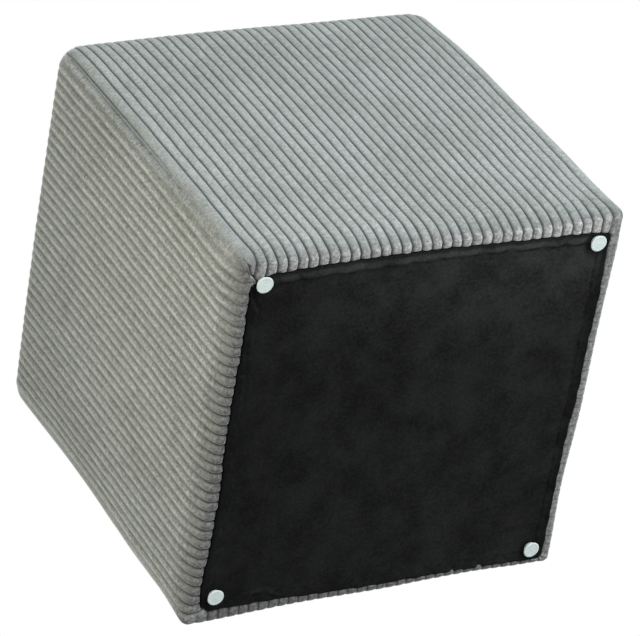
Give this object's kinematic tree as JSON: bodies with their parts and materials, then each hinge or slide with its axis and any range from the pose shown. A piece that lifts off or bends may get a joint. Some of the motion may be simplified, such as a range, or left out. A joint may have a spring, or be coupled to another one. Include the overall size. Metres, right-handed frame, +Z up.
{
  "type": "cube pouf stool",
  "caption": "Cube pouf stool in broad-ribbed corduroy, with a padded seat panel, a black dust cover and nail-on glides under its base.",
  "frame": {"origin": "on the floor, under the middle of the stool, which stands on its four glides", "axes": "+Z up; +X and -X, and +Y and -Y, point out of the four sides; -Y is called the front"},
  "size_m": [0.3068, 0.3064, 0.3172],
  "materials": {
    "ribbed_cloth": "grey-green broad-wale corduroy with a soft cut pile",
    "seat_cloth": "the same corduroy, cut as the seat's own panel",
    "black_cloth": "matt black non-woven sheet",
    "white_plastic": "smooth white moulded plastic with a faint cool tint"
  },
  "bodies": {
    "root": {"ribbed_body": "ribbed_cloth", "seat_panel": "seat_cloth", "dust_cover": "black_cloth", "glide_front_left": "white_plastic", "glide_front_right": "white_plastic", "glide_back_right": "white_plastic", "glide_back_left": "white_plastic"}
  },
  "joints": []
}
